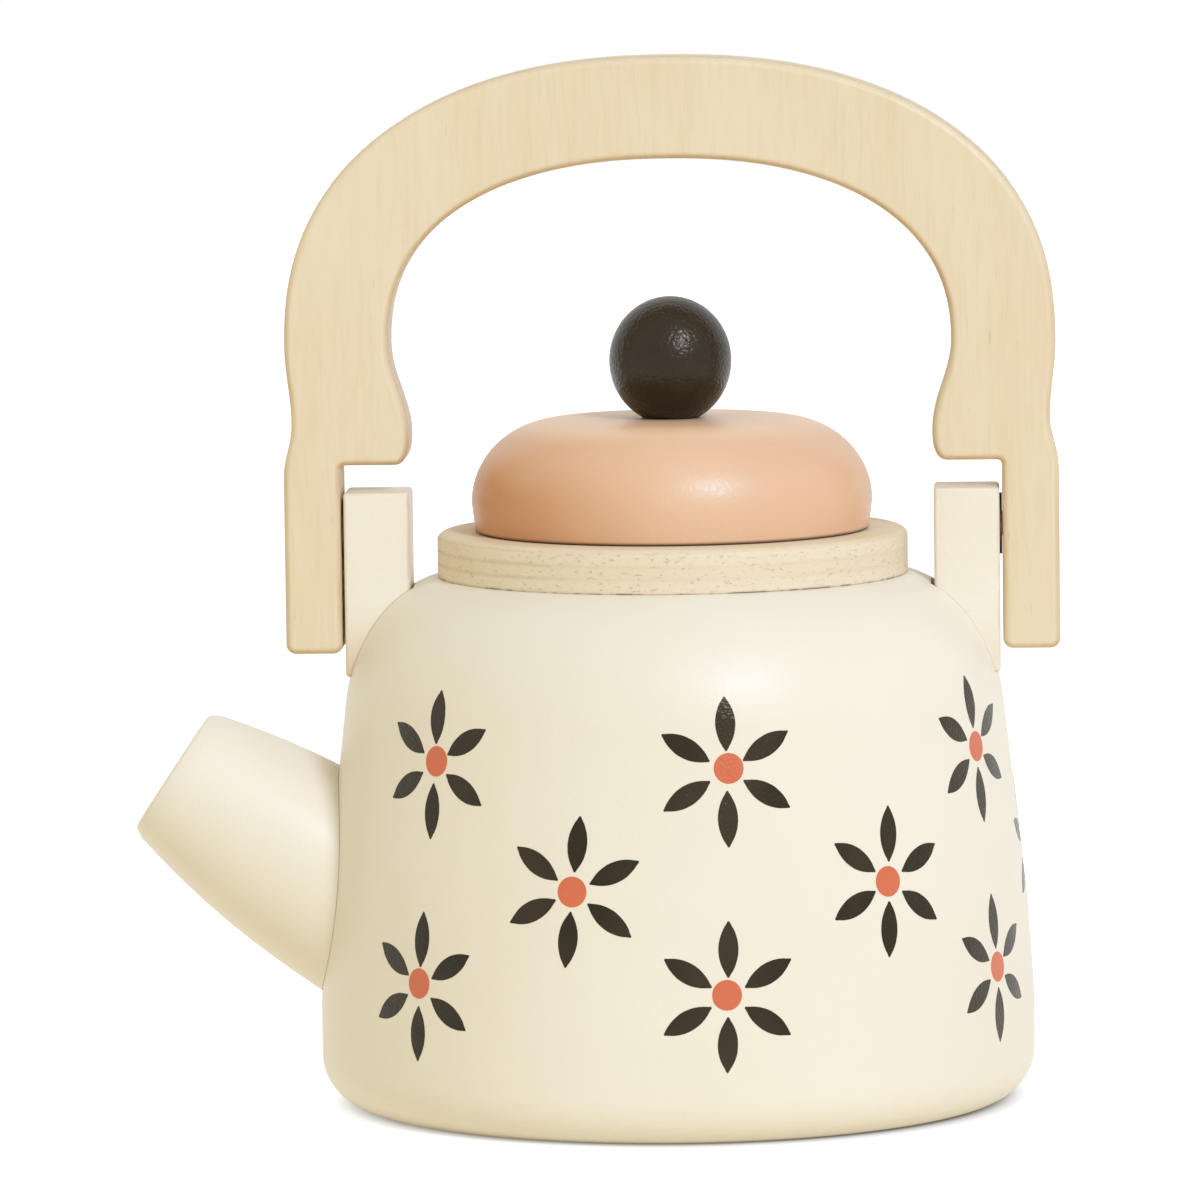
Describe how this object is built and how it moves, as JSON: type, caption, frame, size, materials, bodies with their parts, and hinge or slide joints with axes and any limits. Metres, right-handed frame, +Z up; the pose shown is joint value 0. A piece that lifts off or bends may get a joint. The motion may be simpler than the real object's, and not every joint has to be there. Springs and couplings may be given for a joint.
{
  "type": "toy kettle",
  "caption": "Wooden toy kettle with a turned pot, short spout, lift-off lid with a ball knob, and an arched carrying handle that swings on two brackets.",
  "frame": {"origin": "centre of the pot's flat base, on the pot's axis", "axes": "+Z up along the pot's axis; the spout points to -X; the handle pivots about an axis along X, and its plate stands in the XZ plane"},
  "size_m": [0.152, 0.1172, 0.1712],
  "materials": {
    "cream_paint": "satin cream paint on turned wood, printed with flowers",
    "peach_paint": "satin peach paint on turned wood",
    "charcoal_paint": "satin charcoal paint on turned wood",
    "birch_ply": "clear-sealed birch plywood",
    "beech": "bare beech dowel",
    "screw_steel": "zinc-plated steel",
    "fibre": "dark fibre washer"
  },
  "bodies": {
    "pot": {"body": "cream_paint", "collar_ring": "birch_ply", "spout": "cream_paint", "spout_dowel": "beech", "left_bracket": "cream_paint", "right_bracket": "cream_paint", "left_bracket_dowel": "beech", "right_bracket_dowel": "beech", "left_pivot_screw": "screw_steel", "right_pivot_screw": "screw_steel", "left_washer": "fibre", "right_washer": "fibre"},
    "handle": {"handle": "birch_ply"},
    "lid": {"lid": "peach_paint", "lid_plug": "birch_ply", "knob": "charcoal_paint", "knob_dowel": "beech"}
  },
  "joints": [
    {"name": "handle_swing", "type": "hinge", "parent": "pot", "child": "handle", "pos_m": [0, 0, 0.0942], "axis": [1, 0, 0], "range_deg": [-105, 105]},
    {"name": "lid_lift", "type": "slide", "parent": "pot", "child": "lid", "axis": [0, 0, 1], "range_m": [0, 0.02]}
  ]
}
